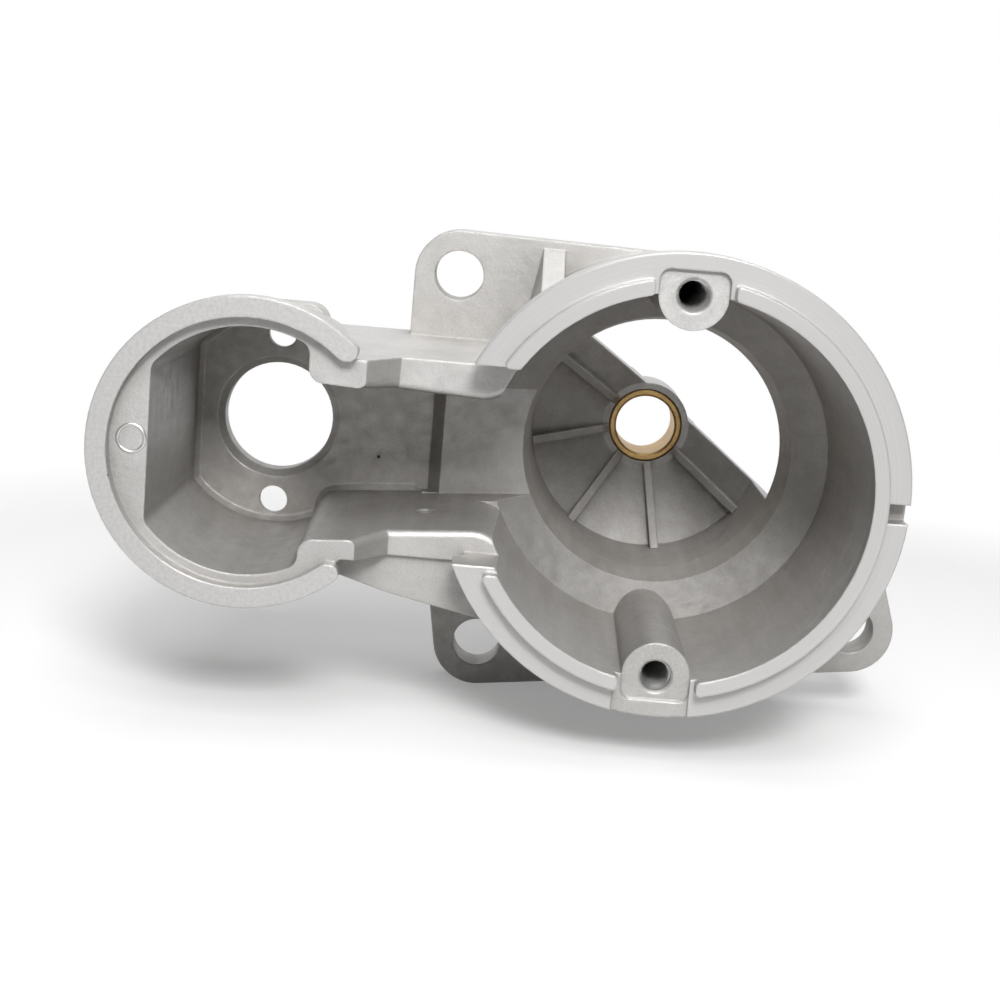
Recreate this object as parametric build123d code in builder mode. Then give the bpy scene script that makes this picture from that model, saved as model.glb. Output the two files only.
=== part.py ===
"""Drive end housing of a small starter motor: one aluminium die casting and its pressed-in bush.

The origin is the centre of the flange's seat face, on the motor axis. The motor axis runs along +Y
to the nose, the solenoid axis lies beside it on -X, and +Z is up. Depths are counted from the joint
face that meets the motor yoke. Lengths are millimetres.
"""

import os
from math import cos, radians, sin, tan

from build123d import *

# Motor side: the joint face, its spigot and the bell behind it
joint_radius = 39.0
joint_collar = 6.0
spigot_radius = 35.0
spigot_height = 2.5
spigot_corner_radius = 0.7
spigot_end_top = 18.0
spigot_end_bottom = 16.4
bore_mouth_radius = 32.5
bore_root_radius = 31.0
bore_depth = 36.0
bell_front_radius = 37.4
bell_back_radius = 36.8
ledge_radius = 25.1
ledge_depth = 42.0

# Solenoid side
solenoid_offset = 71.6
ring_radius = 26.1
ring_thickness = 3.5
ring_end_radius = 1.6
register_radius = 22.6
register_depth = 2.5
chamber_radius = 20.9
chamber_flat = 16.2
chamber_lip = 9.8
chamber_corner_radius = 2.5
chamber_floor_thickness = 5.0
chamber_floor_chamfer = 0.9
chamber_body_front_radius = 24.0
chamber_body_floor_radius = 21.4
chamber_body_back_radius = 18.9
plunger_hole_radius = 10.2
plunger_hole_chamfer = 1.3
solenoid_screw_radius = 2.65
solenoid_screw_offset = 15.9
screw_head_radius = 4.9
screw_head_depth = 3.0
screw_pad_width = 16.8
screw_pad_reach = 21.8
screw_pad_radius = 3.8
screw_pad_thickness = 6.0

# Lever channel between the two
channel_axis_half_width = 9.4
channel_seat_top = 12.6
channel_seat_bottom = 14.1
channel_draft = 1.4
channel_mouth_radius = 6.5
channel_mouth_depth = 35.0
bridge_half_width = 18.0
bridge_draft = 1.35
band_depth = 10.0
band_edge_radius = 1.2
band_slope_run = 5.2
band_slope_start = 52.3
slot_top = 18.0
slot_bottom = 15.5
ring_slot_top = 16.7
ring_slot_bottom = 17.4
web_near_depth = 11.0
web_draft = 3.0
web_solenoid_side = 56.5
web_solenoid_reach = 21.1
web_middle = 46.9
web_middle_reach = 23.9
web_bell_side = 28.0
web_bell_reach = 27.8
step_offset = 42.5
step_run = 2.4
drain_radius = 2.0
drain_offset = 41.8
drain_depth = 25.7

# Mounting flange
window_angle = 127.0
flange_depth = 42.5
flange_thickness = 7.5
flange_hub_radius = 36.6
ear_radius = 8.2
ear_hole_radius = 4.5
upper_ear_offset = 39.5
upper_ear_height = 29.5
lower_ear_offset = 30.8
lower_ear_height = -39.8
far_ear_offset = -40.0
far_ear_height = -31.4
flange_shoulder_offset = 39.6
flange_shoulder_height = 14.0
pilot_radius = 33.0
pilot_height = 3.0
gusset_bell_side = 26.1
gusset_bell_top = 24.3
gusset_nose_top = 20.3
gusset_nose_side = 19.9
gusset_top = 35.6
gusset_foot = 25.0
gusset_front_top = 28.4
gusset_run = 13.0

# Nose
nose_mouth_radius = 24.0
nose_wall = 4.5
nose_inner_radius = 23.2
nose_cone_run = 9.0
nose_shoulder_radius = 5.0
window_offset = 6.6
boss_radius = 8.8
nose_tip_depth = 88.0
nose_tip_radius = 11.0
nose_rib_count = 5
nose_rib_spacing = 45.0
nose_rib_thickness = 1.6
nose_rib_height = 3.2

# Bush
bush_length = 12.0
shaft_radius = 6.0
bush_wall = 1.5
bush_chamfer = 0.4

# Through bolt bosses
bolt_pitch_radius = 32.1
bolt_pad_radius = 5.8
bolt_pad_corner_radius = 1.8
bolt_pad_depth = 0.9
bolt_pad_reach = 36.2
bolt_hole_radius = 2.6
bolt_hole_depth = 30.0
bolt_hole_chamfer = 0.4
bolt_gap_half_width = 6.6
lower_slot_half_width = 6.5
lower_slot_shift = 0.7
lower_slot_depth = 0.4

# Key notch in the joint face
notch_width = 3.3
notch_bottom = 35.0
notch_depth = 4.0
notch_drop = 0.9

overrun = 1.0


flange_back = flange_depth + flange_thickness
joint_level = -flange_back


def across(depth):
    """Plane across the motor axis, drawn as seen from the nose: x to the solenoid, y up."""
    return Plane(origin=(0, joint_level + depth, 0), x_dir=(-1, 0, 0), z_dir=(0, 1, 0))


def facing(depth):
    """Plane across the motor axis, drawn as seen from the motor: x away from the solenoid, y up."""
    return Plane(origin=(0, joint_level + depth, 0), x_dir=(1, 0, 0), z_dir=(0, -1, 0))


solenoid_axis = Axis((-solenoid_offset, 0, 0), (0, 1, 0))
solenoid_plane = Plane((-solenoid_offset, joint_level, 0), x_dir=(1, 0, 0), z_dir=(0, 0, 1))
motor_plane = Plane((0, joint_level, 0), x_dir=(1, 0, 0), z_dir=(0, 0, 1))
ear_places = [
    (upper_ear_offset, upper_ear_height),
    (lower_ear_offset, lower_ear_height),
    (far_ear_offset, far_ear_height),
]
chamber_floor_depth = flange_back - chamber_floor_thickness
bush_radius = shaft_radius + bush_wall
boss_face_depth = nose_tip_depth - bush_length
nose_shoulder_depth = boss_face_depth - nose_cone_run
lip_offset = solenoid_offset - chamber_lip
channel_narrowing = (chamber_floor_depth - register_depth) * tan(radians(channel_draft))


def half_width(seat_half_width, offset):
    """Half width of the lever channel at a distance from the motor axis."""
    return channel_axis_half_width + (seat_half_width - channel_axis_half_width) * offset / lip_offset


def channel_corners(start, end):
    """Corners of the lever channel, which widens from the motor to the solenoid."""
    return [
        (start, half_width(channel_seat_top, start)),
        (end, half_width(channel_seat_top, end)),
        (end, -half_width(channel_seat_bottom, end)),
        (start, -half_width(channel_seat_bottom, start)),
    ]


with BuildPart() as drive_housing:
    # Bridge between the two barrels, drafted towards the flange
    with BuildSketch(across(flange_back)):
        with Locations((solenoid_offset / 2, 0)):
            Rectangle(solenoid_offset, 2 * bridge_half_width)
    extrude(amount=-flange_back, taper=bridge_draft)

    # Solenoid chamber behind its seat ring, with the screw pads on the back
    with BuildSketch(solenoid_plane):
        with BuildLine():
            Polyline(
                (0, register_depth),
                (chamber_body_front_radius, register_depth),
                (chamber_body_floor_radius, chamber_floor_depth),
                (chamber_body_back_radius, flange_back),
                (0, flange_back),
                close=True,
            )
        make_face()
    revolve(axis=solenoid_axis)
    with BuildSketch(across(flange_back)):
        with Locations((solenoid_offset, 0)):
            RectangleRounded(screw_pad_width, 2 * screw_pad_reach, screw_pad_radius)
    extrude(amount=-screw_pad_thickness)

    # Near side of the bridge: the band beside the lever, and the slope up to the solenoid seat
    with BuildSketch(motor_plane):
        with BuildLine():
            Polyline(
                (-solenoid_offset - ring_radius, -overrun),
                (-solenoid_offset - ring_radius, register_depth),
                (-band_slope_start, register_depth),
                (-band_slope_start + band_slope_run, band_depth),
                (overrun, band_depth),
                (overrun, -overrun),
                close=True,
            )
        make_face()
    extrude(amount=joint_radius, both=True, mode=Mode.SUBTRACT)

    # Web below the bridge
    with BuildSketch(across(web_near_depth)):
        with BuildLine():
            Polyline(
                (web_solenoid_side, 0),
                (web_solenoid_side, -web_solenoid_reach),
                (web_middle, -web_middle_reach),
                (web_bell_side, -web_bell_reach),
                (web_bell_side, 0),
                close=True,
            )
        make_face()
    extrude(amount=flange_depth - web_near_depth, taper=-web_draft)

    # Motor bell behind its joint collar
    with BuildSketch(motor_plane):
        with BuildLine():
            Polyline(
                (0, 0),
                (joint_radius, 0),
                (joint_radius, joint_collar),
                (bell_front_radius, joint_collar + joint_radius - bell_front_radius),
                (bell_back_radius, flange_depth),
                (0, flange_depth),
                close=True,
            )
        make_face()
    revolve(axis=Axis.Y)

    # Mounting flange: three ears round a hub, with a straight side behind the bridge
    with BuildSketch(across(flange_depth)):
        Circle(flange_hub_radius)
        with Locations(*ear_places, (flange_shoulder_offset, flange_shoulder_height)):
            Circle(ear_radius)
        make_hull()
    extrude(amount=flange_thickness)

    # Gusset from the bell to the upper edge of the flange
    for gusset_depth, gusset_height in (
        (flange_depth, gusset_top),
        (flange_depth - gusset_run, gusset_front_top),
    ):
        with BuildSketch(across(gusset_depth)):
            with BuildLine():
                Polyline(
                    (gusset_bell_side, gusset_foot),
                    (gusset_bell_top, gusset_height),
                    (gusset_nose_top, gusset_height),
                    (gusset_nose_side, gusset_foot),
                    close=True,
                )
            make_face()
    loft()

    # Nose: pilot, barrel and cone
    with BuildSketch(motor_plane):
        with BuildLine():
            FilletPolyline(
                (nose_mouth_radius + nose_wall, flange_back + pilot_height),
                (nose_inner_radius + nose_wall, nose_shoulder_depth + nose_wall),
                (nose_tip_radius, nose_tip_depth - nose_wall),
                radius=nose_shoulder_radius,
            )
            Polyline(
                (nose_tip_radius, nose_tip_depth - nose_wall),
                (nose_tip_radius, nose_tip_depth),
                (0, nose_tip_depth),
                (0, flange_depth + overrun),
                (pilot_radius, flange_depth + overrun),
                (pilot_radius, flange_back + pilot_height),
                (nose_mouth_radius + nose_wall, flange_back + pilot_height),
            )
        make_face()
    revolve(axis=Axis.Y)

    # Bore, ledge and nose interior in one turned shape
    with BuildSketch(motor_plane):
        with BuildLine():
            Polyline(
                (bore_mouth_radius, 0),
                (bore_root_radius, bore_depth),
                (ledge_radius, ledge_depth),
                (nose_mouth_radius, flange_back),
                (nose_inner_radius, nose_shoulder_depth),
                (boss_radius, boss_face_depth),
                (0, boss_face_depth),
                (0, -overrun),
                (bore_mouth_radius, -overrun),
                close=True,
            )
        make_face()
    revolve(axis=Axis.Y, mode=Mode.SUBTRACT)

    # Window in the nose for the pinion
    with BuildSketch(across(flange_back)):
        with PolarLocations(window_offset, 1, start_angle=window_angle):
            Rectangle(joint_radius, 2 * joint_radius, align=(Align.MIN, Align.CENTER))
    extrude(amount=nose_tip_depth, mode=Mode.SUBTRACT)

    # Bush boss, and the ribs that carry it
    with BuildSketch(across(boss_face_depth)):
        Circle(boss_radius)
    extrude(amount=bush_length)
    for index in range(nose_rib_count):
        angle = radians(window_angle + 180 + (index - (nose_rib_count - 1) / 2) * nose_rib_spacing)
        rib_plane = Plane(
            (0, joint_level, 0), x_dir=(-cos(angle), 0, sin(angle)), z_dir=(-sin(angle), 0, -cos(angle))
        )
        with BuildSketch(rib_plane):
            with BuildLine():
                Polyline(
                    (bush_radius, boss_face_depth),
                    (boss_radius, boss_face_depth - nose_rib_height / 2),
                    (nose_inner_radius, nose_shoulder_depth - nose_rib_height),
                    (nose_inner_radius + overrun, nose_shoulder_depth),
                    (bush_radius, boss_face_depth + nose_rib_height),
                    close=True,
                )
            make_face()
        extrude(amount=nose_rib_thickness / 2, both=True)

    # Solenoid chamber, open to the lever channel
    with BuildSketch(across(register_depth)) as chamber_outline:
        with Locations((solenoid_offset, 0)):
            Circle(chamber_radius)
        with Locations((lip_offset, 0)):
            Rectangle(
                chamber_lip + chamber_flat,
                2 * chamber_radius,
                align=(Align.MIN, Align.CENTER),
                mode=Mode.INTERSECT,
            )
        with BuildLine():
            Polyline(*channel_corners(step_offset, solenoid_offset), close=True)
        make_face()
        chamber_corners = chamber_outline.vertices().filter_by_position(
            Axis.X, lip_offset - overrun, solenoid_offset + chamber_radius
        )
        fillet(chamber_corners, chamber_corner_radius)
    extrude(amount=chamber_floor_depth - register_depth, taper=channel_draft, mode=Mode.SUBTRACT)
    chamber_floor = drive_housing.faces(Select.LAST).sort_by(Axis.Y)[-1]
    chamfer(chamber_floor.edges(), chamber_floor_chamfer)

    # Lever channel, with rounded corners where it opens into the bore
    with BuildSketch(across(register_depth)):
        with BuildLine():
            Polyline(*channel_corners(0, lip_offset), close=True)
        make_face()
    extrude(amount=ledge_depth - register_depth, taper=channel_draft, mode=Mode.SUBTRACT)
    with BuildSketch(across(register_depth)) as mouth_outline:
        Circle(bore_root_radius)
        with BuildLine():
            Polyline(*channel_corners(0, lip_offset), close=True)
        make_face()
        mouth_corners = mouth_outline.vertices().filter_by_position(Axis.X, 0, bore_root_radius)
        fillet(mouth_corners, channel_mouth_radius)
    extrude(amount=channel_mouth_depth - register_depth, taper=channel_draft, mode=Mode.SUBTRACT)

    # Slot in the joint face for the lever's seal
    with BuildSketch(across(-overrun)):
        with Locations((0, (slot_top - slot_bottom) / 2)):
            Rectangle(joint_radius + overrun, slot_top + slot_bottom, align=(Align.MIN, Align.CENTER))
    extrude(amount=band_depth + overrun, mode=Mode.SUBTRACT)

    # Rounded inner edges of the band and its slope
    band_edges = (
        drive_housing.edges()
        .filter_by_position(Axis.X, -band_slope_start, -bore_root_radius)
        .filter_by_position(Axis.Y, joint_level + register_depth, joint_level + band_depth + overrun)
        .filter_by_position(Axis.Z, -channel_seat_bottom, channel_seat_top)
        .filter_by(lambda edge: abs(edge.center().Z) > channel_axis_half_width)
    )
    fillet(band_edges, band_edge_radius)

    # Through bolt bosses in the bore, sunk below the joint face
    with BuildSketch(across(-overrun)):
        with Locations((lower_slot_shift, 0)):
            Rectangle(2 * lower_slot_half_width, joint_radius + overrun, align=(Align.CENTER, Align.MAX))
    extrude(amount=overrun + lower_slot_depth, mode=Mode.SUBTRACT)
    with BuildSketch(across(bolt_pad_depth)) as bolt_pads:
        for side, inner_end in ((1, Align.MIN), (-1, Align.MAX)):
            with Locations((0, side * bolt_pitch_radius)):
                Circle(bolt_pad_radius)
                Rectangle(2 * bolt_pad_radius, bolt_pad_radius, align=(Align.CENTER, inner_end))
        Rectangle(2 * bolt_pad_radius, 2 * bolt_pad_reach, mode=Mode.INTERSECT)
        pad_corners = bolt_pads.vertices().filter_by(lambda corner: abs(corner.Y) > bolt_pad_reach - overrun)
        fillet(pad_corners, bolt_pad_corner_radius)
    extrude(amount=-bolt_pad_depth - overrun, mode=Mode.SUBTRACT)
    extrude(bolt_pads.sketch, amount=ledge_depth - bolt_pad_depth)
    with Locations(facing(bolt_pad_depth)):
        with Locations((0, bolt_pitch_radius), (0, -bolt_pitch_radius)):
            CounterSinkHole(bolt_hole_radius, bolt_hole_radius + bolt_hole_chamfer, depth=bolt_hole_depth)

    # Spigot on the joint face, parted at the lever slot and at the bolts
    with BuildSketch(across(-spigot_height)) as spigot_outline:
        Circle(spigot_radius)
        Circle(bore_mouth_radius, mode=Mode.SUBTRACT)
        with Locations((0, (spigot_end_top - spigot_end_bottom) / 2)):
            Rectangle(
                joint_radius,
                spigot_end_top + spigot_end_bottom,
                align=(Align.MIN, Align.CENTER),
                mode=Mode.SUBTRACT,
            )
        Rectangle(2 * bolt_gap_half_width, 2 * joint_radius, mode=Mode.SUBTRACT)
        fillet(spigot_outline.vertices(), spigot_corner_radius)
    extrude(amount=spigot_height)

    # Seat ring of the solenoid, open towards the lever
    with BuildSketch(across(0)) as seat_outline:
        with Locations((solenoid_offset, 0)):
            Circle(ring_radius)
            Circle(register_radius, mode=Mode.SUBTRACT)
        with Locations((lip_offset, (ring_slot_top - ring_slot_bottom) / 2)):
            Rectangle(
                2 * ring_radius,
                ring_slot_top + ring_slot_bottom,
                align=(Align.MAX, Align.CENTER),
                mode=Mode.SUBTRACT,
            )
        fillet(seat_outline.vertices(), ring_end_radius)
    extrude(amount=ring_thickness)

    # Slope in the floor between the chamber and the ledge
    with BuildSketch(motor_plane) as floor_slope:
        with BuildLine():
            Polyline(
                (-step_offset - step_run, ledge_depth),
                (-step_offset - step_run, chamber_floor_depth),
                (-step_offset, chamber_floor_depth),
                (-step_offset + step_run, ledge_depth),
                close=True,
            )
        make_face()
    slope_top = half_width(channel_seat_top, step_offset - step_run) - channel_narrowing
    slope_bottom = half_width(channel_seat_bottom, step_offset - step_run) - channel_narrowing
    extrude(amount=slope_top, mode=Mode.SUBTRACT)
    extrude(floor_slope.sketch, amount=-slope_bottom, mode=Mode.SUBTRACT)

    # Plunger hole, solenoid screw holes and drain
    with Locations(facing(chamber_floor_depth)):
        with Locations((-solenoid_offset, 0)):
            CounterSinkHole(
                plunger_hole_radius, plunger_hole_radius + plunger_hole_chamfer, depth=chamber_floor_thickness
            )
    with Locations(across(flange_back)):
        with Locations((solenoid_offset, solenoid_screw_offset), (solenoid_offset, -solenoid_screw_offset)):
            CounterBoreHole(
                solenoid_screw_radius, screw_head_radius, screw_head_depth, depth=chamber_floor_thickness
            )
    with BuildSketch(motor_plane):
        with Locations((-drain_offset, drain_depth)):
            Circle(drain_radius)
    extrude(amount=-joint_radius, mode=Mode.SUBTRACT)

    # Holes in the ears and the seat of the bush
    with Locations(across(flange_back)):
        with Locations(*ear_places):
            Hole(ear_hole_radius, depth=flange_thickness)
    with Locations(across(nose_tip_depth)):
        Hole(bush_radius, depth=bush_length)

    # Key notch in the joint face
    with BuildSketch(across(-overrun)):
        with Locations((-notch_bottom, -notch_drop)):
            Rectangle(joint_radius, notch_width, align=(Align.MAX, Align.CENTER))
    extrude(amount=notch_depth + overrun, mode=Mode.SUBTRACT)

with BuildPart() as nose_bush:
    with BuildSketch(motor_plane):
        with Locations((shaft_radius, boss_face_depth)):
            Rectangle(bush_wall, bush_length, align=(Align.MIN, Align.MIN))
        chamfer(vertices(), bush_chamfer)
    revolve(axis=Axis.Y)

drive_housing.part.label = "drive_housing"
nose_bush.part.label = "nose_bush"
os.makedirs("parts", exist_ok=True)
for piece in (drive_housing, nose_bush):
    export_step(piece.part, f"parts/{piece.part.label}.step")
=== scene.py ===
"""Studio scene of a starter motor's drive end housing, laid out as an add-on.

The frame is the part's own: the motor axis runs along +Y through the origin, the solenoid axis lies
beside it on -X, and +Z is up. Lengths are metres.
"""

import math
from typing import NamedTuple

import bmesh
import bpy
from bpy.props import FloatProperty, FloatVectorProperty, IntProperty, PointerProperty
from bpy.types import Operator, Panel, PropertyGroup
from mathutils import Matrix, Vector


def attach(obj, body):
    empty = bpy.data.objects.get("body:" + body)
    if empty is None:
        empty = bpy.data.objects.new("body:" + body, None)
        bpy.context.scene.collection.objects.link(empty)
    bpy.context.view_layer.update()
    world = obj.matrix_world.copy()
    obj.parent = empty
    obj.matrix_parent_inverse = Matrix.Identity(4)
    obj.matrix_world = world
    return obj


bl_info = {
    "name": "Drive End Housing Studio",
    "version": (1, 0, 0),
    "blender": (4, 5, 0),
    "location": "View3D > Sidebar > Housing",
    "description": "Finishes the cast housing and its bush, threads its holes and sets the studio",
    "category": "Object",
}

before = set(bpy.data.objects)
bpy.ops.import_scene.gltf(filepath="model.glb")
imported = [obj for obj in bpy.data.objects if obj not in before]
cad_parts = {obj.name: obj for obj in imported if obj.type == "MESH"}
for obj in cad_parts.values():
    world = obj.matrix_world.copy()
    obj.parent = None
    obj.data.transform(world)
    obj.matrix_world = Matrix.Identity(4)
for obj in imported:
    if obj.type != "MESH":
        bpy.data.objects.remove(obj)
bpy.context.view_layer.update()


class HousingSettings(PropertyGroup):
    """Colours and small sizes of the housing."""

    cast_colour: FloatVectorProperty(
        name="Cast colour",
        description="Blasted skin of the aluminium casting",
        subtype="COLOR",
        size=3,
        min=0.0,
        max=1.0,
        default=(0.60, 0.592, 0.58),
    )
    # Bright colour of the rubbed edges and flecks: partly bright metal, partly painted highlights and
    # glints
    bright_metal_and_glint_colour: FloatVectorProperty(
        name="Worn colour",
        description="Bright metal along the rubbed edges",
        subtype="COLOR",
        size=3,
        min=0.0,
        max=1.0,
        default=(0.88, 0.87, 0.86),
    )
    # Painted shade: dark colour laid on the casting's deep insides, where walls close round, in place of
    # the shade there
    recess_shade_colour: FloatVectorProperty(
        name="Recess colour",
        description="Duller skin of the casting's deep insides",
        subtype="COLOR",
        size=3,
        min=0.0,
        max=1.0,
        default=(0.21, 0.194, 0.176),
    )
    # Reach of the walls within which the painted shade of the recesses is laid
    recess_shade_reach: FloatProperty(
        name="Recess reach",
        description="Distance within which walls make a recess",
        subtype="DISTANCE",
        unit="LENGTH",
        default=0.085,
    )
    shaded_colour: FloatVectorProperty(
        name="Shaded colour",
        description="Darker patches in the skin of the casting",
        subtype="COLOR",
        size=3,
        min=0.0,
        max=1.0,
        default=(0.50, 0.492, 0.48),
    )
    machined_colour: FloatVectorProperty(
        name="Machined colour",
        description="Turned seat faces",
        subtype="COLOR",
        size=3,
        min=0.0,
        max=1.0,
        default=(0.60, 0.592, 0.587),
    )
    bronze_colour: FloatVectorProperty(
        name="Bronze colour",
        description="Sintered bronze of the bush",
        subtype="COLOR",
        size=3,
        min=0.0,
        max=1.0,
        default=(0.62, 0.42, 0.17),
    )
    stain_colour: FloatVectorProperty(
        name="Stain colour",
        description="Darker stains in the bronze",
        subtype="COLOR",
        size=3,
        min=0.0,
        max=1.0,
        default=(0.46, 0.30, 0.13),
    )
    pit_colour: FloatVectorProperty(
        name="Pit colour",
        description="Fine pits in the skin of the casting",
        subtype="COLOR",
        size=3,
        min=0.0,
        max=1.0,
        default=(0.26, 0.25, 0.24),
    )
    # Painted shade: near black laid inside the open pores in place of the shade in them
    pore_shade_colour: FloatVectorProperty(
        name="Pore colour",
        description="Inside of the open pores",
        subtype="COLOR",
        size=3,
        min=0.0,
        max=1.0,
        default=(0.05, 0.045, 0.04),
    )
    joint_face: FloatProperty(
        name="Joint face",
        description="Place of the joint faces along the motor axis",
        subtype="DISTANCE",
        unit="LENGTH",
        default=-0.05,
    )
    spigot_face: FloatProperty(
        name="Spigot face",
        description="Place of the spigot's top along the motor axis",
        subtype="DISTANCE",
        unit="LENGTH",
        default=-0.0525,
    )
    solenoid_offset: FloatProperty(
        name="Solenoid offset",
        description="Distance between the motor axis and the solenoid axis",
        subtype="DISTANCE",
        unit="LENGTH",
        default=0.0716,
    )
    axis_parting: FloatProperty(
        name="Axis parting",
        description="Place across the housing where the turning passes from one axis to the other",
        subtype="DISTANCE",
        unit="LENGTH",
        default=-0.0452,
    )
    bolt_pitch_radius: FloatProperty(
        name="Bolt pitch radius",
        description="Distance from the motor axis to the through bolt holes",
        subtype="DISTANCE",
        unit="LENGTH",
        default=0.0321,
    )
    thread_start: FloatProperty(
        name="Thread start",
        description="Place of the first thread along the motor axis",
        subtype="DISTANCE",
        unit="LENGTH",
        default=-0.0482,
    )
    thread_root_radius: FloatProperty(
        name="Thread root radius",
        description="Radius of the hole that the thread stands in",
        subtype="DISTANCE",
        unit="LENGTH",
        default=0.00262,
    )
    thread_crest_radius: FloatProperty(
        name="Thread crest radius",
        description="Radius inside the thread's crests",
        subtype="DISTANCE",
        unit="LENGTH",
        default=0.00228,
    )
    thread_pitch: FloatProperty(
        name="Thread pitch",
        description="Advance of the thread in one turn",
        subtype="DISTANCE",
        unit="LENGTH",
        default=0.001,
    )
    thread_turns: IntProperty(
        name="Thread turns",
        description="Number of turns in each hole",
        default=24,
        min=1,
    )
    edge_radius: FloatProperty(
        name="Edge radius",
        description="Radius of the rubbed edges",
        subtype="DISTANCE",
        unit="LENGTH",
        default=0.0005,
    )
    skin_relief: FloatProperty(
        name="Skin relief",
        description="Height of the relief in the skin of the casting",
        subtype="DISTANCE",
        unit="LENGTH",
        default=0.00006,
    )
    bronze_relief: FloatProperty(
        name="Bronze relief",
        description="Depth of the fine pores in the bronze",
        subtype="DISTANCE",
        unit="LENGTH",
        default=0.00004,
    )
    pore_place: FloatVectorProperty(
        name="Channel pore",
        description="Centre of the open pore in the floor of the lever channel",
        subtype="XYZ",
        unit="LENGTH",
        size=3,
        default=(-0.0521, -0.005, -0.0060),
    )
    seat_pore_place: FloatVectorProperty(
        name="Seat pore",
        description="Centre of the open pore in the solenoid's seat ring",
        subtype="XYZ",
        unit="LENGTH",
        size=3,
        default=(-0.0934, -0.05, -0.0053),
    )
    pore_radius: FloatProperty(
        name="Pore radius",
        description="Radius of the open pores",
        subtype="DISTANCE",
        unit="LENGTH",
        default=0.00042,
    )
    mark_place: FloatVectorProperty(
        name="Ejector mark",
        description="Centre of the ejector pin's mark on the register floor",
        subtype="XYZ",
        unit="LENGTH",
        size=3,
        default=(-0.09053, -0.0475, 0.00074),
    )
    mark_radius: FloatProperty(
        name="Ejector mark radius",
        description="Radius of the ejector pin's mark",
        subtype="DISTANCE",
        unit="LENGTH",
        default=0.0023,
    )
    mark_height: FloatProperty(
        name="Ejector mark height",
        description="Height of the rim round the ejector pin's mark",
        subtype="DISTANCE",
        unit="LENGTH",
        default=0.0002,
    )


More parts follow.
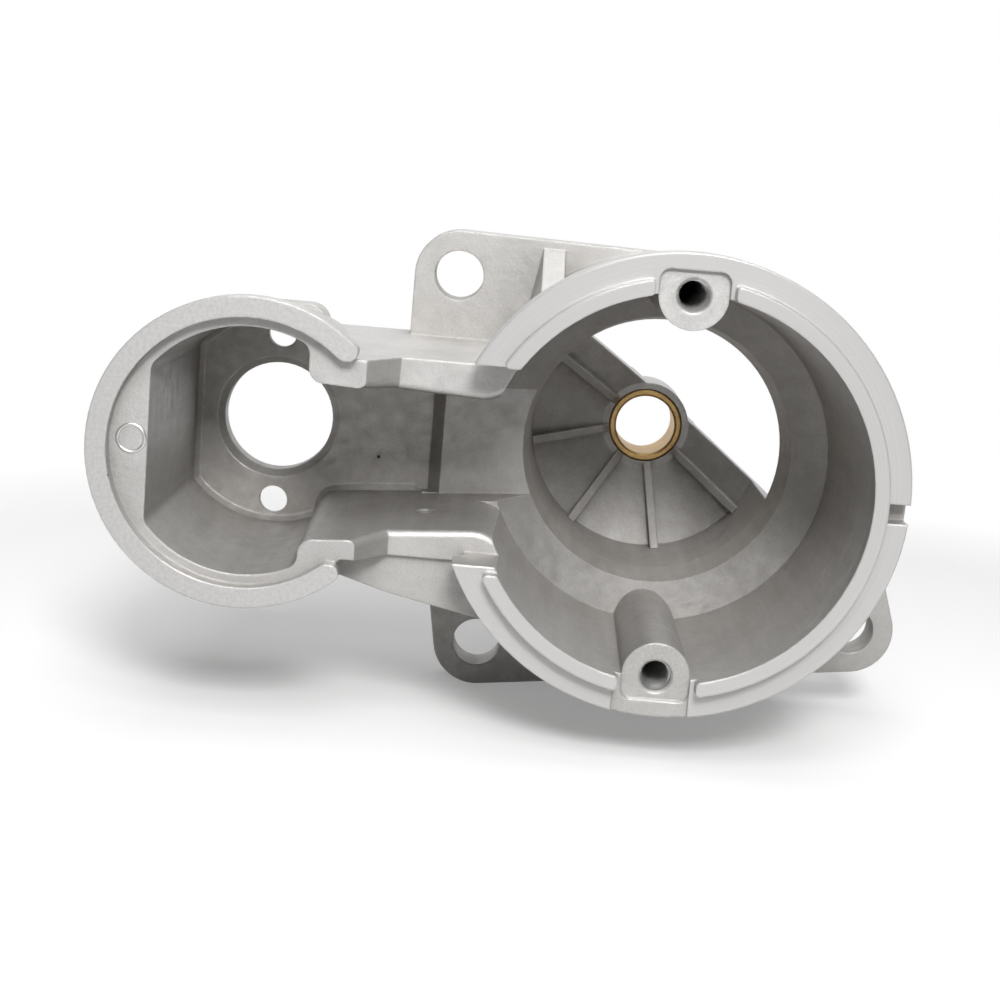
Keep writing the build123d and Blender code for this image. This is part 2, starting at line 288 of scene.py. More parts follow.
class StudioSettings(PropertyGroup):
    """Floor, camera and light of the studio."""

    floor_level: FloatProperty(
        name="Floor level",
        description="Height of the floor under the lowest ear",
        subtype="DISTANCE",
        unit="LENGTH",
        default=-0.0481,
    )
    floor_size: FloatProperty(
        name="Floor size",
        description="Length of each side of the floor",
        subtype="DISTANCE",
        unit="LENGTH",
        default=6.0,
    )
    shadow_reach: FloatProperty(
        name="Shadow reach",
        description="Distance from the motor axis at which the floor is plain white",
        subtype="DISTANCE",
        unit="LENGTH",
        default=0.24,
    )
    floor_colour: FloatVectorProperty(
        name="Floor colour",
        description="Colour of the white floor",
        subtype="COLOR",
        size=3,
        min=0.0,
        max=1.0,
        default=(0.98, 0.98, 0.98),
    )
    floor_cloud_colour: FloatVectorProperty(
        name="Floor cloud colour",
        description="Lighter clouds in the white floor",
        subtype="COLOR",
        size=3,
        min=0.0,
        max=1.0,
        default=(0.99, 0.99, 0.99),
    )
    floor_relief: FloatProperty(
        name="Floor relief",
        description="Height of the relief in the floor",
        subtype="DISTANCE",
        unit="LENGTH",
        default=0.0002,
    )
    floor_glow: FloatProperty(
        name="Floor glow",
        description="Share of plain white in the floor as it is seen, which softens the shadow",
        default=0.26,
        min=0.0,
        max=1.0,
    )
    floor_bounce: FloatVectorProperty(
        name="Floor bounce",
        description="Colour of the floor for the light that it throws back on the housing",
        subtype="COLOR",
        size=3,
        min=0.0,
        max=1.0,
        default=(0.15, 0.147, 0.144),
    )
    camera_place: FloatVectorProperty(
        name="Camera place",
        description="Where the camera stands",
        subtype="XYZ",
        unit="LENGTH",
        size=3,
        default=(-0.029236, -0.348706, 0.051336),
    )
    camera_right: FloatVectorProperty(
        name="Camera right",
        description="Direction of the picture's right side",
        subtype="DIRECTION",
        size=3,
        default=(0.99652, 0.01321, 0.08244),
    )
    camera_up: FloatVectorProperty(
        name="Camera up",
        description="Direction of the picture's upper side",
        subtype="DIRECTION",
        size=3,
        default=(-0.08347, 0.18178, 0.97980),
    )
    camera_lens: FloatProperty(
        name="Camera lens",
        description="Focal length in millimetres",
        default=66.19,
        min=1.0,
    )
    lamp_aim: FloatVectorProperty(
        name="Lamp aim",
        description="Point between the two axes that the lights look at",
        subtype="XYZ",
        unit="LENGTH",
        size=3,
        default=(-0.03, 0.0, 0.0),
    )
    key_place: FloatVectorProperty(
        name="Key light place",
        description="Where the small light above the camera stands",
        subtype="XYZ",
        unit="LENGTH",
        size=3,
        default=(0.08, -0.84, 0.55),
    )
    key_size: FloatProperty(
        name="Key light size",
        description="Length of each side of the small light",
        subtype="DISTANCE",
        unit="LENGTH",
        default=0.25,
    )
    soft_place: FloatVectorProperty(
        name="Soft light place",
        description="Where the large light above the camera stands",
        subtype="XYZ",
        unit="LENGTH",
        size=3,
        default=(-0.05, -0.64, 0.76),
    )
    soft_size: FloatProperty(
        name="Soft light size",
        description="Length of each side of the light above the camera",
        subtype="DISTANCE",
        unit="LENGTH",
        default=0.55,
    )
    top_place: FloatVectorProperty(
        name="Top light place",
        description="Where the light overhead stands",
        subtype="XYZ",
        unit="LENGTH",
        size=3,
        default=(0.0, 0.1, 0.95),
    )
    top_size: FloatProperty(
        name="Top light size",
        description="Length of each side of the light overhead",
        subtype="DISTANCE",
        unit="LENGTH",
        default=0.7,
    )
    sky_strength: FloatProperty(
        name="Sky strength",
        description="Level of the light from all round",
        default=0.08,
        min=0.0,
    )
    room_strength: FloatProperty(
        name="Room strength",
        description="Level of the darker room that metal mirrors in front of the housing",
        default=0.06,
        min=0.0,
    )
    key_energy: FloatProperty(
        name="Key light",
        description="Power of the small light above the camera",
        subtype="POWER",
        unit="POWER",
        default=8.2,
        min=0.0,
    )
    soft_energy: FloatProperty(
        name="Soft light",
        description="Power of the large light above the camera",
        subtype="POWER",
        unit="POWER",
        default=4.5,
        min=0.0,
    )
    top_energy: FloatProperty(
        name="Top light",
        description="Power of the large light overhead",
        subtype="POWER",
        unit="POWER",
        default=2.4,
        min=0.0,
    )


# Samples of the nodes that feel round a point for walls or edges
CONTACT_SAMPLES = 2
EDGE_SAMPLES = 3


class Pattern(NamedTuple):
    """Noise with this many grains to the metre, spread between its low and its high level."""

    fineness: float
    detail: float
    roughness: float
    low: float = 0.0
    high: float = 1.0


class NodeWriter:
    """Adds nodes to a material or world and links them."""

    def __init__(self, tree):
        self.tree = tree
        tree.nodes.clear()

    def add(self, kind, inputs=None, **settings):
        """Adds a node and sets or links its inputs."""
        node = self.tree.nodes.new(kind)
        for name, value in settings.items():
            setattr(node, name, value)
        for key, value in (inputs or {}).items():
            if isinstance(value, bpy.types.NodeSocket):
                self.tree.links.new(value, node.inputs[key])
            else:
                node.inputs[key].default_value = value
        return node

    def math(self, operation, *values):
        """Result of a sum on plain values."""
        return self.add("ShaderNodeMath", dict(enumerate(values)), operation=operation).outputs[0]

    def mix(self, factor, first, second):
        """Colour between two colours."""
        node = self.add("ShaderNodeMix", {0: factor}, data_type="RGBA")
        for socket, value in ((node.inputs[6], first), (node.inputs[7], second)):
            if isinstance(value, bpy.types.NodeSocket):
                self.tree.links.new(value, socket)
            else:
                socket.default_value = (*value, 1.0)
        return node.outputs[2]

    def blend(self, factor, first, second):
        """Value between two values."""
        node = self.add("ShaderNodeMix", {0: factor, 2: first, 3: second}, data_type="FLOAT")
        return node.outputs[0]

    def spread(self, value, low, high, out_low=0.0, out_high=1.0):
        """Value carried from one span of levels to another and kept inside it."""
        inputs = {0: value, 1: low, 2: high, 3: out_low, 4: out_high}
        return self.add("ShaderNodeMapRange", inputs, clamp=True).outputs[0]

    def noise(self, place, pattern):
        """Plain noise of a pattern."""
        inputs = {
            "Vector": place,
            "Scale": pattern.fineness,
            "Detail": pattern.detail,
            "Roughness": pattern.roughness,
        }
        return self.add("ShaderNodeTexNoise", inputs).outputs["Fac"]

    def levels(self, noise, pattern, out_low=0.0, out_high=1.0):
        """Noise spread between the levels of its pattern."""
        return self.spread(noise, pattern.low, pattern.high, out_low, out_high)

    def patches(self, place, pattern, out_low=0.0, out_high=1.0):
        """Noise of a pattern, spread between its levels."""
        return self.levels(self.noise(place, pattern), pattern, out_low, out_high)

    def split(self, vector):
        """Parts of a vector, found by X, Y and Z."""
        return self.add("ShaderNodeSeparateXYZ", {0: vector}).outputs

    def distance(self, place, centre):
        node = self.add("ShaderNodeVectorMath", {0: place, 1: centre}, operation="DISTANCE")
        return node.outputs["Value"]

    def length(self, vector):
        return self.add("ShaderNodeVectorMath", {0: vector}, operation="LENGTH").outputs["Value"]

    def openness(self, reach):
        """Share of open space within a reach of each point."""
        node = self.add("ShaderNodeAmbientOcclusion", {"Distance": reach}, samples=CONTACT_SAMPLES)
        return node.outputs["AO"]


def new_material(name):
    """Makes an empty material and the writer of its nodes."""
    material = bpy.data.materials.new(name)
    material.use_nodes = True
    return material, NodeWriter(material.node_tree)


# Patterns in the skin of the casting
SKIN_PATCHES = Pattern(75.0, 3.0, 0.55, 0.35, 0.68)
SKIN_GRAIN = Pattern(1500.0, 3.0, 0.6)
SKIN_STIPPLE = Pattern(620.0, 2.0, 0.5)
SKIN_SHEEN = Pattern(420.0, 2.0, 0.5, 0.3, 0.7)
DIE_STREAKS = Pattern(420.0, 3.0, 0.6, 0.35, 0.7)
FLECKS = Pattern(4000.0, 2.0, 0.6, 0.4, 0.75)
PITS = Pattern(1500.0, 2.0, 0.6, 0.58, 0.76)
RUBBING_AND_HIGHLIGHT = Pattern(300.0, 3.0, 0.6, 0.38, 0.62)
MARK_LUMPS = Pattern(1150.0, 2.0, 0.7)
PORE_RIM = Pattern(2400.0, 2.0, 0.6)

# Patterns of the turned faces, where the sheen starts at a lower level than the colour
TURNED_RINGS = Pattern(4200.0, 3.0, 0.6, 0.35, 0.7)
TURNED_SHEEN = TURNED_RINGS._replace(low=0.3)
SEAT_MATT = Pattern(1700.0, 2.0, 0.6, 0.3, 0.72)

# The die is drawn along the motor axis, so its streaks are long on that axis
DIE_DRAW_SHARES = (1.0, 0.06, 1.0)

# A turned face looks this squarely along the motor axis, and lies this near its named place
SQUARE_SHARE = 0.97
FACE_TOLERANCE = 0.0002

# Openness at which the skin turns from the painted shade of a recess to the skin of the outside
RECESS_LEVELS = (0.12, 0.7)

# Openness that tells an outward edge from an inner corner, and the reach that it is felt within
EDGE_REACH = 0.0012
OUTWARD_LEVELS = (0.62, 0.85)

# Agreement between the rounded and the flat facing, from the midst of an edge to beside it
EDGE_LEVELS = (0.88, 0.99)

# Strength of a pattern, or of the metal, in a recess and in the open
FLECK_SHARES = (0.1, 0.3)
PIT_SHARES = (0.08, 0.24)
METAL_SHARES = (0.4, 0.75)
BLASTED_RELIEF_SHARES = (0.45, 1.1)
STREAK_RELIEF_SHARES = (0.9, 0.0)

# Strength of the other patterns, as shares of the skin's relief or of the second colour
STIPPLE_RELIEF_SHARE = 1.4
RING_RELIEF_SHARE = 0.3
SEAT_RELIEF_SHARE = 0.9
PORE_RELIEF_SHARE = 3.0
LUMP_RELIEF_SHARE = 2.6
STREAK_SHARE = 0.22
RING_SHARE = 0.6
RUBBED_AND_HIGHLIGHT_SHARES = (0.1, 0.6)

# Distances from the ejector pin's mark between which the lumps of the casting fade
LUMP_REACHES = (0.006, 0.014)

# Width of a pore with its ragged rim, as a share of the pore
RAGGED_PORE_SHARE = 1.4

# Roughness of the finishes
SKIN_ROUGHNESS = (0.42, 0.58)
TURNED_ROUGHNESS = (0.38, 0.46)
SEAT_ROUGHNESS = 0.52
WORN_ROUGHNESS = 0.34
SKIN_BUMP = 0.6


def machined_mask(writer, place, facing, settings):
    """Share of the turned faces at each point: the joint faces, the spigot's top and the flange seat."""
    depth = writer.split(place)["Y"]
    squareness = writer.split(facing)["Y"]
    toward_motor = writer.math("LESS_THAN", squareness, -SQUARE_SHARE)
    toward_nose = writer.math("GREATER_THAN", squareness, SQUARE_SHARE)
    on_joint = writer.math("COMPARE", depth, settings.joint_face, FACE_TOLERANCE)
    on_spigot = writer.math("COMPARE", depth, settings.spigot_face, FACE_TOLERANCE)
    on_seat = writer.math("COMPARE", depth, 0.0, FACE_TOLERANCE)
    front = writer.math("MULTIPLY", toward_motor, writer.math("MAXIMUM", on_joint, on_spigot))
    back = writer.math("MULTIPLY", toward_nose, on_seat)
    return writer.math("MAXIMUM", front, back)


def solenoid_side(writer, place, settings):
    """1 on the solenoid's side of the housing, 0 on the motor's."""
    return writer.math("LESS_THAN", writer.split(place)["X"], settings.axis_parting)


def turning_lines(writer, place, near_solenoid, settings):
    """Fine rings about the nearer of the two axes."""
    point = writer.split(place)
    shift = writer.math("MULTIPLY", near_solenoid, settings.solenoid_offset)
    across = writer.math("ADD", point["X"], shift)
    flat = writer.add("ShaderNodeCombineXYZ", {0: across, 1: 0.0, 2: point["Z"]})
    radius = writer.length(flat.outputs[0])
    ring = writer.add("ShaderNodeCombineXYZ", {0: radius, 1: 0.0, 2: 0.0})
    return writer.noise(ring.outputs[0], TURNED_RINGS)


def die_lines(writer, place):
    """Faint streaks along the draw of the die."""
    inputs = {0: place, 1: DIE_DRAW_SHARES}
    drawn_place = writer.add("ShaderNodeVectorMath", inputs, operation="MULTIPLY")
    return writer.noise(drawn_place.outputs["Vector"], DIE_STREAKS)


def open_pores(writer, place, settings):
    """Share of the small open pores at each point, uneven at their rims."""
    ragged = writer.math("MULTIPLY", writer.noise(place, PORE_RIM), settings.pore_radius)
    rim_radius = settings.pore_radius * RAGGED_PORE_SHARE
    shares = []
    for centre in (settings.pore_place, settings.seat_pore_place):
        near = writer.math("ADD", writer.distance(place, centre), ragged)
        shares.append(writer.spread(near, settings.pore_radius, rim_radius, 1.0, 0.0))
    return writer.math("MAXIMUM", *shares)


def skin_colour(writer, place, open_share, drawn, settings):
    """Colour of the blasted skin, darkened in the recesses by painted shade and drawn lengthwise there by
    the die.
    """
    outside = writer.mix(writer.patches(place, SKIN_PATCHES), settings.cast_colour, settings.shaded_colour)
    streaks = writer.levels(drawn, DIE_STREAKS, 0.0, STREAK_SHARE)
    # Painted shade in the recesses, lightened a little by the die's streaks, giving way to the outside skin
    # as the point opens out
    recess = writer.mix(streaks, settings.recess_shade_colour, settings.cast_colour)
    cast = writer.mix(open_share, recess, outside)
    # Bright flecks: partly grain of the blasted skin, partly painted glints, fainter in the recesses
    fleck_share = writer.blend(open_share, *FLECK_SHARES)
    flecks = writer.math("MULTIPLY", writer.patches(place, FLECKS), fleck_share)
    flecked = writer.mix(flecks, cast, settings.bright_metal_and_glint_colour)
    pit_share = writer.blend(open_share, *PIT_SHARES)
    pits = writer.math("MULTIPLY", writer.patches(place, PITS), pit_share)
    return writer.mix(pits, flecked, settings.pit_colour)


def turned_colour(writer, place, lines, near_solenoid, settings):
    """Colour of the turned faces: ringed on the motor side, matt on the solenoid's seat."""
    matt = writer.patches(place, SEAT_MATT)
    rings = writer.levels(lines, TURNED_RINGS, 0.0, RING_SHARE)
    shade = writer.blend(near_solenoid, rings, matt)
    return writer.mix(shade, settings.machined_colour, settings.shaded_colour)


def rubbed_and_highlit_edges(writer, place, rounded):
    """Share of the bright rubbed metal and painted highlight at each point, which lies along outward edges
    only.
    """
    flat_facing = writer.add("ShaderNodeNewGeometry").outputs["Normal"]
    inputs = {0: rounded, 1: flat_facing}
    bend = writer.add("ShaderNodeVectorMath", inputs, operation="DOT_PRODUCT").outputs["Value"]
    near_edge = writer.spread(bend, *EDGE_LEVELS, 1.0, 0.0)
    outward = writer.spread(writer.openness(EDGE_REACH), *OUTWARD_LEVELS)
    rubbed = writer.patches(place, RUBBING_AND_HIGHLIGHT, *RUBBED_AND_HIGHLIGHT_SHARES)
    return writer.math("MULTIPLY", writer.math("MULTIPLY", near_edge, outward), rubbed)


def blasted_relief(writer, place, open_share, drawn, grain, settings):
    """Height of the blasted skin, of its die streaks and of the lumps round the ejector pin's mark."""
    stipple = writer.math("MULTIPLY", writer.noise(place, SKIN_STIPPLE), STIPPLE_RELIEF_SHARE)
    blasted_share = writer.blend(open_share, *BLASTED_RELIEF_SHARES)
    blasted = writer.math("MULTIPLY", writer.math("ADD", grain, stipple), blasted_share)
    streaks = writer.math("MULTIPLY", drawn, writer.blend(open_share, *STREAK_RELIEF_SHARES))
    from_mark = writer.distance(place, settings.mark_place)
    by_mark = writer.spread(from_mark, *LUMP_REACHES, LUMP_RELIEF_SHARE, 0.0)
    lumps = writer.math("MULTIPLY", writer.noise(place, MARK_LUMPS), by_mark)
    return writer.math("ADD", writer.math("ADD", blasted, streaks), lumps)


def cast_aluminium(settings):
    """Blasted casting skin with turned faces, rubbed edges with painted highlight, open pores with painted
    shade inside, and painted shade in the recesses.
    """
    material, writer = new_material("cast_aluminium")
    coordinates = writer.add("ShaderNodeTexCoord").outputs
    place = coordinates["Object"]
    machined = machined_mask(writer, place, coordinates["Normal"], settings)
    near_solenoid = solenoid_side(writer, place, settings)
    lines = turning_lines(writer, place, near_solenoid, settings)
    drawn = die_lines(writer, place)
    grain = writer.noise(place, SKIN_GRAIN)
    # Openness among the walls round each point, which lays the painted shade in the recesses
    open_share = writer.spread(writer.openness(settings.recess_shade_reach), *RECESS_LEVELS)
    bevel = writer.add("ShaderNodeBevel", {"Radius": settings.edge_radius}, samples=EDGE_SAMPLES)
    rounded = bevel.outputs[0]
    edge_wear_and_highlight = rubbed_and_highlit_edges(writer, place, rounded)
    pores = open_pores(writer, place, settings)

    # Colour
    skin = skin_colour(writer, place, open_share, drawn, settings)
    turned = turned_colour(writer, place, lines, near_solenoid, settings)
    colour = writer.mix(machined, skin, turned)
    # Rubbed metal and painted highlight along the outward edges
    colour = writer.mix(edge_wear_and_highlight, colour, settings.bright_metal_and_glint_colour)
    # Painted shade inside the open pores
    colour = writer.mix(pores, colour, settings.pore_shade_colour)

    # Roughness and metal
    skin_gloss = writer.patches(place, SKIN_SHEEN, *SKIN_ROUGHNESS)
    ring_gloss = writer.levels(lines, TURNED_SHEEN, *TURNED_ROUGHNESS)
    turned_gloss = writer.blend(near_solenoid, ring_gloss, SEAT_ROUGHNESS)
    gloss = writer.blend(machined, skin_gloss, turned_gloss)
    gloss = writer.blend(edge_wear_and_highlight, gloss, WORN_ROUGHNESS)
    metal = writer.blend(open_share, *METAL_SHARES)

    # Relief
    ring_relief = writer.math("MULTIPLY", lines, RING_RELIEF_SHARE)
    seat_relief = writer.math("MULTIPLY", grain, SEAT_RELIEF_SHARE)
    turned_relief = writer.blend(near_solenoid, ring_relief, seat_relief)
    relief = blasted_relief(writer, place, open_share, drawn, grain, settings)
    relief = writer.blend(machined, relief, turned_relief)
    relief = writer.math("SUBTRACT", relief, writer.math("MULTIPLY", pores, PORE_RELIEF_SHARE))
    bump = writer.add(
        "ShaderNodeBump",
        {"Strength": SKIN_BUMP, "Distance": settings.skin_relief, "Height": relief, "Normal": rounded},
    )
    shader = writer.add(
        "ShaderNodeBsdfPrincipled",
        {"Base Color": colour, "Metallic": metal, "Roughness": gloss, "Normal": bump.outputs[0]},
    )
    writer.add("ShaderNodeOutputMaterial", {"Surface": shader.outputs[0]})
    return material


# Patterns and finish of the sintered bronze
BRONZE_PORES = Pattern(2600.0, 3.0, 0.6, 0.3, 0.7)
BRONZE_STAINS = Pattern(260.0, 2.0, 0.5, 0.3, 0.7)
BRONZE_ROUGHNESS = (0.34, 0.5)
BRONZE_METAL_SHARE = 0.9
BRONZE_BUMP = 0.4


def bronze(settings):
    """Fine-pored sintered bronze."""
    material, writer = new_material("bronze")
    place = writer.add("ShaderNodeTexCoord").outputs["Object"]
    pores = writer.noise(place, BRONZE_PORES)
    colour = writer.mix(writer.patches(place, BRONZE_STAINS), settings.bronze_colour, settings.stain_colour)
    gloss = writer.levels(pores, BRONZE_PORES, *BRONZE_ROUGHNESS)
    bump = writer.add(
        "ShaderNodeBump",
        {"Strength": BRONZE_BUMP, "Distance": settings.bronze_relief, "Height": pores},
    )
    shader = writer.add(
        "ShaderNodeBsdfPrincipled",
        {
            "Base Color": colour,
            "Metallic": BRONZE_METAL_SHARE,
            "Roughness": gloss,
            "Normal": bump.outputs[0],
        },
    )
    writer.add("ShaderNodeOutputMaterial", {"Surface": shader.outputs[0]})
    return material


# Finish of the white floor, and the share of its shadow's reach at which the shadow starts to fade
FLOOR_CLOUDS = Pattern(6.0, 2.0, 0.5, 0.2, 0.8)
CLOUD_SHARE = 0.4
FLOOR_ROUGHNESS = 0.9
FLOOR_BUMP = 0.05
FADE_START_SHARE = 0.6

WHITE = (1.0, 1.0, 1.0, 1.0)


def shown_ray(writer):
    """1 for a ray from the camera, from metal or through glass."""
    path = writer.add("ShaderNodeLightPath").outputs
    shown = writer.math("MAXIMUM", path["Is Camera Ray"], path["Is Glossy Ray"])
    return writer.math("MAXIMUM", shown, path["Is Transmission Ray"])


def white_floor(settings):
    """Matt white studio floor that keeps the housing's shadow and is plain white away from it."""
    material, writer = new_material("white_floor")
    place = writer.add("ShaderNodeTexCoord").outputs["Object"]
    cloud = writer.noise(place, FLOOR_CLOUDS)
    cloud_share = writer.levels(cloud, FLOOR_CLOUDS, 0.0, CLOUD_SHARE)
    shown_colour = writer.mix(cloud_share, settings.floor_colour, settings.floor_cloud_colour)
    shown = shown_ray(writer)
    colour = writer.mix(shown, settings.floor_bounce, shown_colour)
    bump = writer.add(
        "ShaderNodeBump",
        {"Strength": FLOOR_BUMP, "Distance": settings.floor_relief, "Height": cloud},
    )
    paper = writer.add(
        "ShaderNodeBsdfPrincipled",
        {"Base Color": colour, "Roughness": FLOOR_ROUGHNESS, "Normal": bump.outputs[0]},
    )
    fade_start = settings.shadow_reach * FADE_START_SHARE
    away = writer.spread(writer.length(place), fade_start, settings.shadow_reach)
    white = writer.add("ShaderNodeEmission", {"Color": WHITE, "Strength": 1.0})
    plain = writer.math("MULTIPLY", writer.math("MAXIMUM", away, settings.floor_glow), shown)
    both = writer.add("ShaderNodeMixShader", {0: plain, 1: paper.outputs[0], 2: white.outputs[0]})
    writer.add("ShaderNodeOutputMaterial", {"Surface": both.outputs[0]})
    return material


def dress_node(name, material):
    """Gives a CAD node one material on all its faces."""
    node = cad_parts[name]
    node.data.materials.clear()
    node.data.materials.append(material)


def add_piece(name, mesh, material):
    """Puts a small mesh on the housing as a piece of its own."""
    piece = bpy.data.objects.new(name, mesh)
    bpy.context.scene.collection.objects.link(piece)
    mesh.materials.append(material)
    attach(piece, "root")
    return piece


def bridge_rows(shape, before, after):
    """Joins two closed rows of points by a band of faces."""
    for index, corner in enumerate(before):
        following = (index + 1) % len(before)
        shape.faces.new((corner, before[following], after[following], after[index]))


def finished_mesh(name, shape, smooth):
    """Turns a built shape into a mesh, with its faces outward."""
    bmesh.ops.recalc_face_normals(shape, faces=shape.faces)
    for face in shape.faces:
        face.smooth = smooth
    mesh = bpy.data.meshes.new(name)
    shape.to_mesh(mesh)
    shape.free()
    return mesh


# Points of a thread in one turn, and the half widths of its root and crest as shares of half a pitch
THREAD_STEPS = 28
ROOT_SHARE = 0.9
CREST_SHARE = 0.12


def thread_mesh(name, centre, settings):
    """Helical ridge that stands inward from the wall of a hole and runs out at both ends."""
    steps = settings.thread_turns * THREAD_STEPS
    half_pitch = settings.thread_pitch / 2
    root = settings.thread_root_radius
    depth = root - settings.thread_crest_radius
    shape = bmesh.new()
    rows = []
    for step in range(steps + 1):
        angle = 2 * math.pi * step / THREAD_STEPS
        run_in = min(1.0, step / THREAD_STEPS, (steps - step) / THREAD_STEPS)
        crest = root - depth * run_in
        forward = settings.thread_start + settings.thread_pitch * step / THREAD_STEPS
        profile = ((root, -ROOT_SHARE), (crest, -CREST_SHARE), (crest, CREST_SHARE), (root, ROOT_SHARE))
        row = []
        for radius, share in profile:
            x = centre.x + radius * math.cos(angle)
            z = centre.z + radius * math.sin(angle)
            row.append(shape.verts.new((x, forward + half_pitch * share, z)))
        rows.append(row)
    for before, after in zip(rows, rows[1:]):
        bridge_rows(shape, before, after)
    shape.faces.new(rows[0])
    shape.faces.new(reversed(rows[-1]))
    return finished_mesh(name, shape, smooth=False)


# Points round the mark's rim, and its profile across and along as shares of the rim's height
RIM_STEPS = 56
RIM_SHARES = ((-1.9, 0.4), (-0.9, -0.75), (0.0, -1.0), (0.9, -0.7), (1.9, 0.4))

# The rim rises and falls this often on its way round, by this share, from this angle on
RIM_WAVES = 3
RIM_WAVE_SHARE = 0.25
RIM_WAVE_START = 0.7


def rim_mesh(name, centre, radius, height):
    """Low uneven round rim that faces the motor side."""
    shape = bmesh.new()
    rows = []
    for step in range(RIM_STEPS):
        angle = 2 * math.pi * step / RIM_STEPS
        rise = height * (1.0 + RIM_WAVE_SHARE * math.sin(RIM_WAVES * angle + RIM_WAVE_START))
        row = []
        for across_share, along_share in RIM_SHARES:
            reach = radius + across_share * height
            x = centre.x + reach * math.cos(angle)
            z = centre.z + reach * math.sin(angle)
            row.append(shape.verts.new((x, centre.y + along_share * rise, z)))
        rows.append(row)
    for index, before in enumerate(rows):
        bridge_rows(shape, before, rows[(index + 1) % RIM_STEPS])
    return finished_mesh(name, shape, smooth=True)


class HOUSING_OT_finish_casting(Operator):
    """Gives the casting its blasted skin and turned faces"""

    bl_idname = "housing.finish_casting"
    bl_label = "Finish Casting"

    def execute(self, context):
        dress_node("drive_housing", cast_aluminium(context.scene.housing_settings))
        return {"FINISHED"}


class HOUSING_OT_finish_bush(Operator):
    """Gives the bush its sintered bronze"""

    bl_idname = "housing.finish_bush"
    bl_label = "Finish Bush"

    def execute(self, context):
        dress_node("nose_bush", bronze(context.scene.housing_settings))
        return {"FINISHED"}


class HOUSING_OT_cut_threads(Operator):
    """Adds the threads of the two through bolt holes"""

    bl_idname = "housing.cut_threads"
    bl_label = "Cut Threads"

    def execute(self, context):
        settings = context.scene.housing_settings
        material = bpy.data.materials.get("cast_aluminium")
        if material is None:
            raise RuntimeError("finish the casting before its threads")
        for name, side in (("upper_bolt_thread", 1), ("lower_bolt_thread", -1)):
            centre = Vector((0.0, 0.0, side * settings.bolt_pitch_radius))
            add_piece(name, thread_mesh(name, centre, settings), material)
        return {"FINISHED"}


class HOUSING_OT_mark_casting(Operator):
    """Adds the ejector pin's mark beside the solenoid chamber"""

    bl_idname = "housing.mark_casting"
    bl_label = "Mark Casting"

    def execute(self, context):
        settings = context.scene.housing_settings
        material = bpy.data.materials.get("cast_aluminium")
        if material is None:
            raise RuntimeError("finish the casting before its marks")
        name = "ejector_mark"
        mesh = rim_mesh(name, Vector(settings.mark_place), settings.mark_radius, settings.mark_height)
        add_piece(name, mesh, material)
        return {"FINISHED"}


def add_floor(settings):
    """Lays the floor under the housing."""
    half = settings.floor_size / 2
    mesh = bpy.data.meshes.new("studio_floor")
    corners = [(-half, -half, 0.0), (half, -half, 0.0), (half, half, 0.0), (-half, half, 0.0)]
    mesh.from_pydata(corners, [], [(0, 1, 2, 3)])
    floor = bpy.data.objects.new("studio_floor", mesh)
    floor.location = (0.0, 0.0, settings.floor_level)
    mesh.materials.append(white_floor(settings))
    bpy.context.scene.collection.objects.link(floor)


def add_lamp(name, place, aim, size, energy):
    """Hangs a square light that looks at a point."""
    data = bpy.data.lights.new(name, "AREA")
    data.shape = "SQUARE"
    data.size = size
    data.energy = energy
    lamp = bpy.data.objects.new(name, data)
    lamp.location = place
    lamp.rotation_euler = (Vector(aim) - Vector(place)).to_track_quat("-Z", "Y").to_euler()
    bpy.context.scene.collection.objects.link(lamp)


# Width of the camera's sensor in millimetres, and the nearest and farthest distance that it sees
SENSOR_WIDTH = 36.0
NEAREST_SEEN = 0.01
FARTHEST_SEEN = 50.0


def add_camera(settings):
    """Stands the camera in front of the housing's motor side."""
    right = Vector(settings.camera_right).normalized()
    up = Vector(settings.camera_up).normalized()
    turn = Matrix((right, up, right.cross(up))).transposed()
    data = bpy.data.cameras.new("studio_camera")
    data.sensor_fit = "HORIZONTAL"
    data.sensor_width = SENSOR_WIDTH
    data.lens = settings.camera_lens
    data.clip_start = NEAREST_SEEN
    data.clip_end = FARTHEST_SEEN
    camera = bpy.data.objects.new("studio_camera", data)
    camera.matrix_world = Matrix.Translation(settings.camera_place) @ turn.to_4x4()
    bpy.context.scene.collection.objects.link(camera)
    bpy.context.scene.camera = camera


# Share of the motor axis in a direction, from the end of the dark room to the start of full white
ROOM_LEVELS = (-0.3, 0.3)


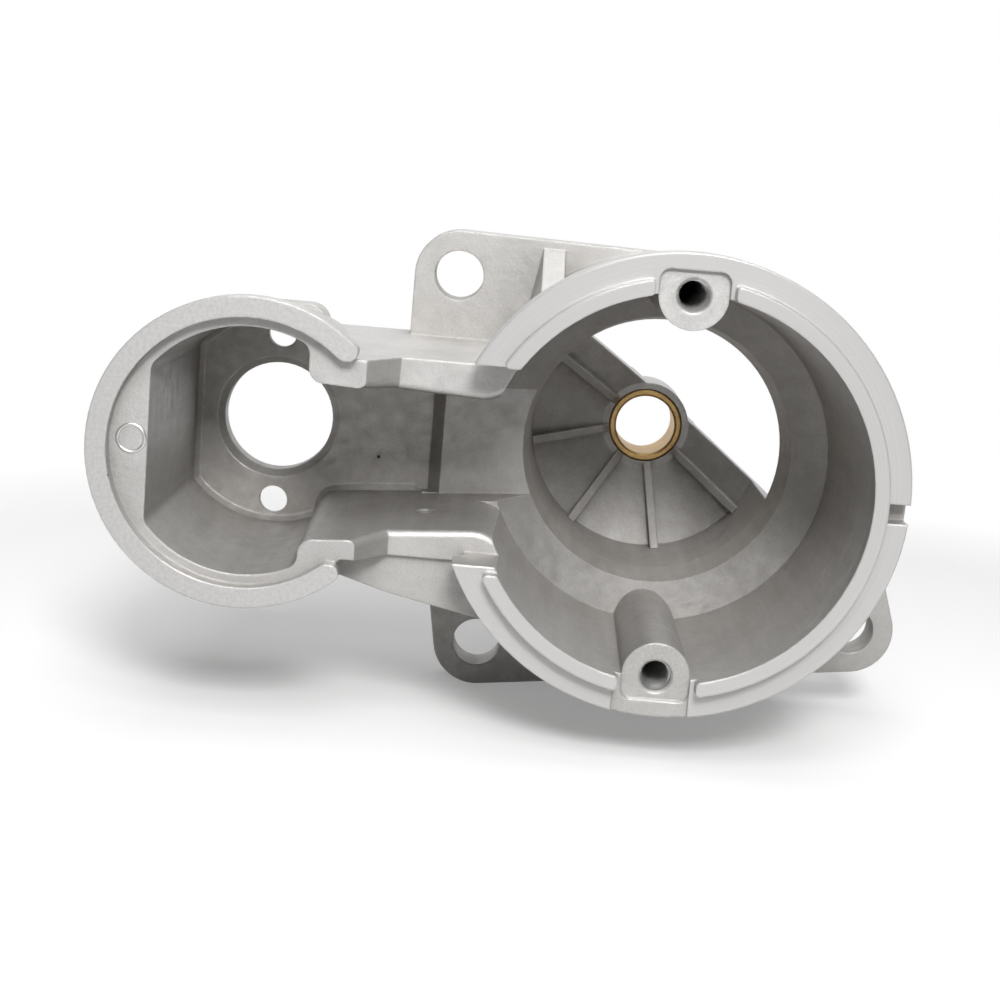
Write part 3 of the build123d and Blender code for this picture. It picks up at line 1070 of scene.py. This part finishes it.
def set_sky(settings):
    """Sets the world: white to the camera, low even light on the housing, and a dark room in front
    of it and white behind it for what metal mirrors."""
    world = bpy.data.worlds.new("studio_sky")
    bpy.context.scene.world = world
    world.use_nodes = True
    writer = NodeWriter(world.node_tree)
    path = writer.add("ShaderNodeLightPath").outputs
    direction = writer.add("ShaderNodeTexCoord").outputs["Generated"]
    along = writer.split(direction)["Y"]
    room = writer.spread(along, *ROOM_LEVELS, settings.room_strength, 1.0)
    mirrored = writer.math("MAXIMUM", path["Is Glossy Ray"], path["Is Transmission Ray"])
    level = writer.blend(mirrored, settings.sky_strength, room)
    strength = writer.blend(path["Is Camera Ray"], level, 1.0)
    light = writer.add("ShaderNodeBackground", {"Color": WHITE, "Strength": strength})
    writer.add("ShaderNodeOutputWorld", {"Surface": light.outputs[0]})


class HOUSING_OT_set_stage(Operator):
    """Sets the floor, the sky, the lights and the camera"""

    bl_idname = "housing.set_stage"
    bl_label = "Set Stage"

    def execute(self, context):
        settings = context.scene.studio_settings
        add_floor(settings)
        set_sky(settings)
        aim = settings.lamp_aim
        add_lamp("key_light", settings.key_place, aim, settings.key_size, settings.key_energy)
        add_lamp("soft_light", settings.soft_place, aim, settings.soft_size, settings.soft_energy)
        add_lamp("top_light", settings.top_place, aim, settings.top_size, settings.top_energy)
        add_camera(settings)
        context.scene.view_settings.view_transform = "Standard"
        return {"FINISHED"}


class HOUSING_PT_sidebar(Panel):
    """Lists the steps that build the scene"""

    bl_idname = "HOUSING_PT_sidebar"
    bl_label = "Drive End Housing"
    bl_space_type = "VIEW_3D"
    bl_region_type = "UI"
    bl_category = "Housing"

    def draw(self, context):
        for step in STEPS:
            self.layout.operator(step.bl_idname)


STEPS = (
    HOUSING_OT_finish_casting,
    HOUSING_OT_finish_bush,
    HOUSING_OT_cut_threads,
    HOUSING_OT_mark_casting,
    HOUSING_OT_set_stage,
)
CLASSES = (HousingSettings, StudioSettings, *STEPS, HOUSING_PT_sidebar)


def register():
    for item in CLASSES:
        bpy.utils.register_class(item)
    bpy.types.Scene.housing_settings = PointerProperty(type=HousingSettings)
    bpy.types.Scene.studio_settings = PointerProperty(type=StudioSettings)


def unregister():
    del bpy.types.Scene.studio_settings
    del bpy.types.Scene.housing_settings
    for item in reversed(CLASSES):
        bpy.utils.unregister_class(item)


def main():
    register()
    bpy.ops.housing.finish_casting()
    bpy.ops.housing.finish_bush()
    bpy.ops.housing.cut_threads()
    bpy.ops.housing.mark_casting()
    bpy.ops.housing.set_stage()


if __name__ == "__main__":
    main()
